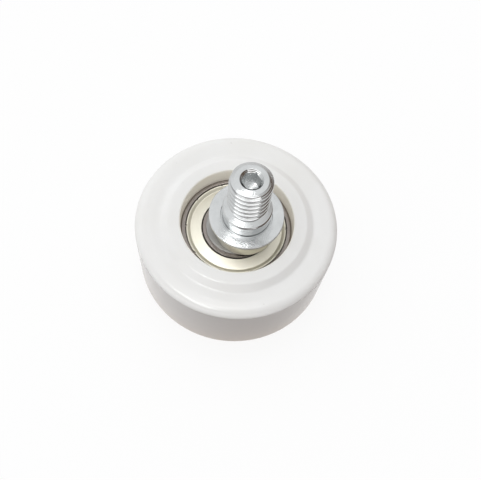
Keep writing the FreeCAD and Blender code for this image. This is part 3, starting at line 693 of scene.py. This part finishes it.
class ROLLER_OT_shields(bpy.types.Operator):
    """Press the two notched shields that close the bearing"""
    bl_idname = "roller.shields"
    bl_label = "Model the shields"

    def execute(self, context):
        steel = shield_steel()
        self.shield("front_shield_sheet", "front_shield", OUTER_HIGH.z, -1, steel)
        self.shield("rear_shield_sheet", "rear_shield", OUTER_LOW.z, 1, steel)
        return {"FINISHED"}

    def shield(self, name, node, face, inward, steel):
        bearing = settings("bearing")
        seat = SHIELD_HIGH.x
        lip = seat - bearing.lip_reach
        rim = seat - bearing.rim_width
        flat = rim - bearing.slope_run
        inside = INNER_HIGH.x + bearing.gap
        bead = lip - bearing.gully
        dish = SHIELD_HIGH.z - SHIELD_LOW.z - bearing.sheet - bearing.bead

        def height(depth):
            return face + inward * depth

        top = bearing.lip_height
        crest = height(top - bearing.bead)
        hole = height(top + dish - bearing.crown)
        piece = turn(name, [
            (inside, hole), (flat, height(top + dish)), (rim, crest), (bead, crest),
            (bead, height(top)), (seat, height(top)), (seat, height(top + bearing.sheet)),
            (rim, height(top + bearing.sheet)), (flat, height(top + dish + bearing.sheet)),
            (inside, height(top + dish - bearing.crown + bearing.sheet)),
        ])
        round_rings(piece, [(rim, crest), (flat, height(top + dish))], bearing.bend_round, segments=4)
        round_rings(piece, [(bead, crest)], bearing.bead_round, segments=4)
        round_rings(piece, [(inside, hole)], bearing.hole_round, segments=3)
        combine(piece, self.notches(lip, height(top)), "DIFFERENCE")
        finish_piece(piece, node, "wheel", steel)

    def notches(self, lip, height):
        """Blocks that cut the notches, evenly spaced round the rim."""
        bearing = settings("bearing")
        block = (bearing.notch_length, bearing.notch_width, 4 * bearing.sheet)
        reach = lip - bearing.notch_length / 2
        deselect_all()
        bpy.ops.mesh.primitive_cube_add(size=MM, location=(0, 0, 0))
        tool = bpy.context.object
        bpy.ops.object.mode_set(mode="EDIT")
        bpy.ops.mesh.delete(type="VERT")
        for index in range(bearing.notch_count):
            turned = bearing.notch_turn + index * math.tau / bearing.notch_count
            place = (reach * math.cos(turned), reach * math.sin(turned), height)
            bpy.ops.mesh.primitive_cube_add(size=1, location=place, rotation=(0, 0, turned), scale=block)
        bpy.ops.object.mode_set(mode="OBJECT")
        return tool


class ROLLER_OT_stud(bpy.types.Operator):
    """Turn the eccentric stud, cut its thread and its hexagon socket"""
    bl_idname = "roller.stud"
    bl_label = "Model the eccentric stud"

    def execute(self, context):
        piece = self.shank()
        combine(piece, self.journal(), "UNION")
        combine(piece, self.thread_groove(), "DIFFERENCE")
        combine(piece, self.pilot_hole(), "DIFFERENCE")
        combine(piece, self.hexagon(), "DIFFERENCE")
        finish_piece(piece, "eccentric_stud", "stud", zinc_plate())
        return {"FINISHED"}

    def shank(self):
        """All that stands on the offset axis, as one turned piece."""
        stud = settings("stud")
        seat_top = OUTER_HIGH.z + stud.seat_height
        flange = STUD_HIGH.y
        rim_low = FLANGE_TOP - stud.flange_rim
        boss_top = BOSS_EDGE + stud.boss_edge
        foot = BOSS_RADIUS + stud.foot_groove
        foot_low = FLANGE_TOP - stud.foot_groove
        chamfer_low = boss_top - stud.boss_chamfer
        relief = THREAD_RADIUS - stud.relief_depth
        barrel = stud.barrel_radius
        boss_edge = [(BOSS_RADIUS, chamfer_low), (BOSS_RADIUS - stud.boss_chamfer, boss_top)]
        end_edge = (THREAD_RADIUS - stud.end_chamfer, STUD_HIGH.z)
        piece = turn("stud_turning", [
            (0, seat_top), (barrel, seat_top), (barrel, rim_low - stud.flange_taper), (flange, rim_low),
            (flange, FLANGE_TOP), (foot, FLANGE_TOP), (foot, foot_low), (BOSS_RADIUS, foot_low), *boss_edge,
            (relief, boss_top + stud.boss_crown), (relief, THREAD_LOW - stud.relief_depth),
            (THREAD_RADIUS, THREAD_LOW), (THREAD_RADIUS, THREAD_HIGH), end_edge, (0, STUD_HIGH.z),
        ], STUD_OFFSET, closed=False)
        soft = [(flange, rim_low), (flange, FLANGE_TOP), (barrel, seat_top)]
        round_rings(piece, soft, stud.edge_round, STUD_OFFSET, segments=4)
        round_rings(piece, boss_edge, stud.boss_round, STUD_OFFSET, segments=3)
        round_rings(piece, [end_edge], stud.end_round, STUD_OFFSET, segments=4)
        return piece

    def journal(self):
        """All that stands on the bearing's axis, with a plug that reaches up into the barrel."""
        stud = settings("stud")
        bore = INNER_HIGH.x - settings("bearing").inner_wall
        seat = bore + stud.seat_step
        seat_top = OUTER_HIGH.z + stud.seat_height
        plug = stud.barrel_radius - STUD_OFFSET - stud.seat_height
        plug_top = seat_top + stud.seat_height
        groove = bore - stud.groove_depth
        groove_low = CLIP_LOW.z - stud.clip_play
        chamfer = stud.journal_chamfer
        piece = turn("stud_journal", [
            (0, STUD_LOW.z), (bore - chamfer, STUD_LOW.z), (bore, STUD_LOW.z + chamfer), (bore, groove_low),
            (groove, groove_low), (groove, CLIP_HIGH.z), (bore, CLIP_HIGH.z), (bore, OUTER_HIGH.z),
            (seat, OUTER_HIGH.z), (seat, seat_top), (plug, seat_top), (plug, plug_top), (0, plug_top),
        ], closed=False)
        round_rings(piece, [(seat, seat_top)], stud.seat_round, segments=3)
        return piece

    def thread_groove(self, over=0.15 * MM, flank_steps=6, turn_steps=72):
        """The groove of a right-hand thread, as a helical tool that reaches over the crest."""
        stud = settings("stud")
        outside = THREAD_RADIUS + over
        half = (stud.thread_pitch - stud.thread_crest) / 2
        start = THREAD_LOW - stud.thread_lead
        turns = math.ceil((STUD_HIGH.z - start) / stud.thread_pitch) + 1
        shares = [step / flank_steps for step in range(-flank_steps, flank_steps + 1)]
        depths = [stud.thread_depth * (1 + math.cos(math.pi * share)) / 2 for share in shares]
        groove = [(THREAD_RADIUS - depth, start + half * share) for depth, share in zip(depths, shares)]
        outline = [(outside, start - half), *groove, (outside, start + half)]
        tool = draw("thread_tool", outline, 0.0, closed=True)
        apply_modifier(
            tool, "SCREW", angle=math.tau, screw_offset=stud.thread_pitch, iterations=turns,
            steps=turn_steps, render_steps=turn_steps, axis="Z", use_merge_vertices=False)
        bpy.ops.object.mode_set(mode="EDIT")
        bpy.ops.mesh.select_mode(type="EDGE")
        bpy.ops.mesh.select_all(action="DESELECT")
        bpy.ops.mesh.select_non_manifold()
        bpy.ops.mesh.fill_holes(sides=0)
        bpy.ops.mesh.select_all(action="SELECT")
        bpy.ops.transform.translate(value=(STUD_OFFSET, 0, 0))
        bpy.ops.mesh.normals_make_consistent(inside=False)
        return tool

    def pilot_hole(self, over=0.2 * MM):
        """The socket's drilled hole and countersunk mouth, as a tool that reaches over the end."""
        stud = settings("stud")
        radius = stud.socket_flats / 2
        bottom = STUD_HIGH.z - stud.socket_depth
        tip = bottom - radius * math.tan(DRILL_SLOPE)
        return turn("pilot_tool", [
            (0, tip), (radius, bottom), (radius, STUD_HIGH.z - (stud.socket_mouth - radius)),
            (stud.socket_mouth + over, STUD_HIGH.z + over), (0, STUD_HIGH.z + over),
        ], STUD_OFFSET, closed=False, steps=96)

    def hexagon(self, over=0.4 * MM):
        """The socket's six flats; a new cylinder has its first corner a quarter turn from +X."""
        stud = settings("stud")
        depth = stud.socket_depth + over
        place = (STUD_OFFSET, 0, STUD_HIGH.z + over - depth / 2)
        turned = stud.socket_turn - math.radians(90)
        deselect_all()
        bpy.ops.mesh.primitive_cylinder_add(
            vertices=6, radius=stud.socket_flats / math.sqrt(3), depth=depth, location=place,
            rotation=(0, 0, turned))
        return applied()


class ROLLER_OT_retaining_ring(bpy.types.Operator):
    """Model the open spring ring behind the bearing"""
    bl_idname = "roller.retaining_ring"
    bl_label = "Model the retaining ring"

    def execute(self, context):
        stud = settings("stud")
        inside = INNER_HIGH.x - settings("bearing").inner_wall - stud.groove_depth
        outside = inside + stud.clip_width
        low, high = CLIP_LOW.z, CLIP_HIGH.z
        piece = turn("retaining_clip", [(inside, low), (outside, low), (outside, high), (inside, high)])
        combine(piece, self.block(stud.clip_gap, outside, low, high), "DIFFERENCE")
        across = stud.clip_gap / 2 + stud.eye_hole
        reach = inside + stud.eye_radius
        for side in (-across, across):
            combine(piece, self.disc(stud.eye_radius, side, reach, low, high), "UNION")
        for side in (-across, across):
            combine(piece, self.disc(stud.eye_hole, side, reach, low - MM, high + MM), "DIFFERENCE")
        material = sheet_steel("spring_steel", stud.spring_steel, roughness=0.32, wear=1.5)
        finish_piece(piece, "retaining_ring", "stud", material)
        return {"FINISHED"}

    def block(self, width, length, low, high):
        deselect_all()
        place = (0, length, (low + high) / 2)
        scale = (width, 2 * length, 2 * (high - low))
        bpy.ops.mesh.primitive_cube_add(size=1, location=place, scale=scale)
        return applied()

    def disc(self, radius, across, reach, low, high):
        deselect_all()
        place = (across, reach, (low + high) / 2)
        bpy.ops.mesh.primitive_cylinder_add(vertices=48, radius=radius, depth=high - low, location=place)
        return applied()


class ROLLER_OT_rolling_parts(bpy.types.Operator):
    """Finish the balls, the cage and its rivets, which keep the frame's own shapes"""
    bl_idname = "roller.rolling_parts"
    bl_label = "Finish balls and cage"

    def execute(self, context):
        bearing = settings("bearing")
        polished = sheet_steel("ball_steel", bearing.ball_steel, roughness=0.06, wear=1.1)
        pressed = sheet_steel("cage_steel", bearing.cage_steel, roughness=0.34, wear=0.85)
        for name, node in frame["nodes"].items():
            if name.startswith("ball_"):
                dress(node, polished)
            elif "cage" in name:
                dress(node, pressed)
        return {"FINISHED"}


class ROLLER_OT_stage(bpy.types.Operator):
    """Lay the floor, hang the lights and place the camera"""
    bl_idname = "roller.stage"
    bl_label = "Set the stage"

    def execute(self, context):
        self.floor()
        self.sky()
        self.lights()
        self.camera()
        return {"FINISHED"}

    def floor(self):
        """A wide pale floor, and a dim card that only lights the roller from below."""
        stage = settings("stage")
        pale = Finish("pale_floor")
        pale.set(Base_Color=(*stage.floor, 1), Roughness=0.9, Specular_IOR_Level=0.0)
        pale.set(Emission_Color=(1, 1, 1, 1), Emission_Strength=stage.floor_glow)
        wide = self.disc("floor", stage.floor_radius, stage.floor_level, pale.material)
        wide.visible_diffuse = False
        warm = Finish("warm_card")
        warm.set(Base_Color=(0, 0, 0, 1), Roughness=1.0, Specular_IOR_Level=0.0)
        warm.set(Emission_Color=(*stage.card, 1), Emission_Strength=1.0)
        card = self.disc("card", stage.card_radius, stage.card_level, warm.material)
        card.visible_camera = False
        card.visible_glossy = False

    def disc(self, name, radius, height, material):
        deselect_all()
        bpy.ops.mesh.primitive_circle_add(
            vertices=96, radius=radius, fill_type="NGON", location=(0, 0, height))
        disc = bpy.context.object
        disc.name = name
        disc.data.materials.append(material)
        return disc

    def sky(self):
        """A broad soft light above a dim room with a dark side, and a backdrop that only the camera sees."""
        stage = settings("stage")
        world = bpy.data.worlds.new("studio")
        bpy.context.scene.world = world
        sky = Nodes(world)
        tones = (stage.room, stage.haze, stage.light)
        tone = sky.ramp(self.facing(sky, stage.light_from) * 0.5 + 0.5, list(zip(SKY_STOPS, tones)))
        tone = sky.blend(sky.ramp(self.facing(sky, stage.shade_from), SHADE_STOPS), tone, stage.shade)
        tone = sky.blend(sky.node("ShaderNodeLightPath", output="Is Camera Ray"), tone, stage.backdrop)
        light = sky.node("ShaderNodeBackground", None, {"Color": tone, "Strength": stage.light_strength})
        sky.node("ShaderNodeOutputWorld", None, {"Surface": light}, output=None)

    def facing(self, sky, towards):
        """How far each direction of the sky turns towards a given one, from -1 to 1."""
        direction = sky.node("ShaderNodeTexCoord", output="Generated")
        inputs = {0: direction, 1: Vector(towards).normalized()}
        return sky.node("ShaderNodeVectorMath", {"operation": "DOT_PRODUCT"}, inputs, output="Value")

    def lights(self):
        """A small light overhead, and two that show only as reflections."""
        stage = settings("stage")
        self.softbox("overhead_light", stage.overhead_place, stage.overhead_size, stage.overhead_power)
        self.softbox("front_gleam", stage.gleam_place, stage.gleam_size, stage.gleam_power, diffuse=False)
        self.softbox("high_glint", stage.glint_place, stage.glint_size, stage.glint_power, diffuse=False)

    def softbox(self, name, place, size, power, diffuse=True):
        """A flat light that faces the origin, and may leave matt surfaces unlit."""
        lamp = bpy.data.lights.new(name, "AREA")
        lamp.shape = "RECTANGLE"
        lamp.size, lamp.size_y = size
        lamp.energy = power
        holder = bpy.data.objects.new(name, lamp)
        holder.location = place
        holder.rotation_euler = (-Vector(place)).to_track_quat("-Z", "Y").to_euler()
        holder.visible_diffuse = diffuse
        bpy.context.scene.collection.objects.link(holder)

    def camera(self):
        stage = settings("stage")
        right = Vector((math.cos(stage.azimuth), math.sin(stage.azimuth), 0))
        away = Vector((-right.y, right.x, 0))
        back = math.sin(stage.elevation) * Vector((0, 0, 1)) - math.cos(stage.elevation) * away
        up = back.cross(right)
        across = math.cos(stage.roll) * right + math.sin(stage.roll) * up
        upright = back.cross(across)
        aim = Vector((0, 0, stage.aim_height)) + stage.aim_side * across
        data = bpy.data.cameras.new("camera")
        data.sensor_width = 36
        data.lens = stage.lens
        data.clip_start = MM
        data.clip_end = 10
        camera = bpy.data.objects.new("camera", data)
        turned = Matrix((across, upright, back)).transposed().to_4x4()
        camera.matrix_world = Matrix.Translation(aim + stage.distance * back) @ turned
        bpy.context.scene.collection.objects.link(camera)
        bpy.context.scene.camera = camera
        bpy.context.scene.view_settings.view_transform = "Standard"


OPERATORS = (
    ROLLER_OT_wheel,
    ROLLER_OT_rings,
    ROLLER_OT_shields,
    ROLLER_OT_stud,
    ROLLER_OT_retaining_ring,
    ROLLER_OT_rolling_parts,
    ROLLER_OT_stage,
)


class VIEW3D_PT_roller(bpy.types.Panel):
    """Buttons and sizes of the roller's pieces"""
    bl_label = "Eccentric roller"
    bl_idname = "VIEW3D_PT_roller"
    bl_space_type = "VIEW_3D"
    bl_region_type = "UI"
    bl_category = "Roller"

    def draw(self, context):
        for operator in OPERATORS:
            self.layout.operator(operator.bl_idname)
        for group in SETTINGS:
            values = settings(group)
            box = self.layout.box()
            box.label(text=group.capitalize())
            for name in values.bl_rna.properties.keys():
                if name not in ("rna_type", "name"):
                    box.prop(values, name)


SETTINGS = {
    "wheel": RollerWheelSettings,
    "bearing": RollerBearingSettings,
    "stud": RollerStudSettings,
    "stage": RollerStageSettings,
}
CLASSES = (*SETTINGS.values(), *OPERATORS, VIEW3D_PT_roller)


def register():
    for item in CLASSES:
        bpy.utils.register_class(item)
    for group, kind in SETTINGS.items():
        setattr(bpy.types.Scene, "roller_" + group, PointerProperty(type=kind))


def unregister():
    for group in SETTINGS:
        delattr(bpy.types.Scene, "roller_" + group)
    for item in reversed(CLASSES):
        bpy.utils.unregister_class(item)


def main():
    register()
    bpy.ops.roller.wheel()
    bpy.ops.roller.rings()
    bpy.ops.roller.shields()
    bpy.ops.roller.stud()
    bpy.ops.roller.retaining_ring()
    bpy.ops.roller.rolling_parts()
    bpy.ops.roller.stage()


if __name__ == "__main__":
    main()
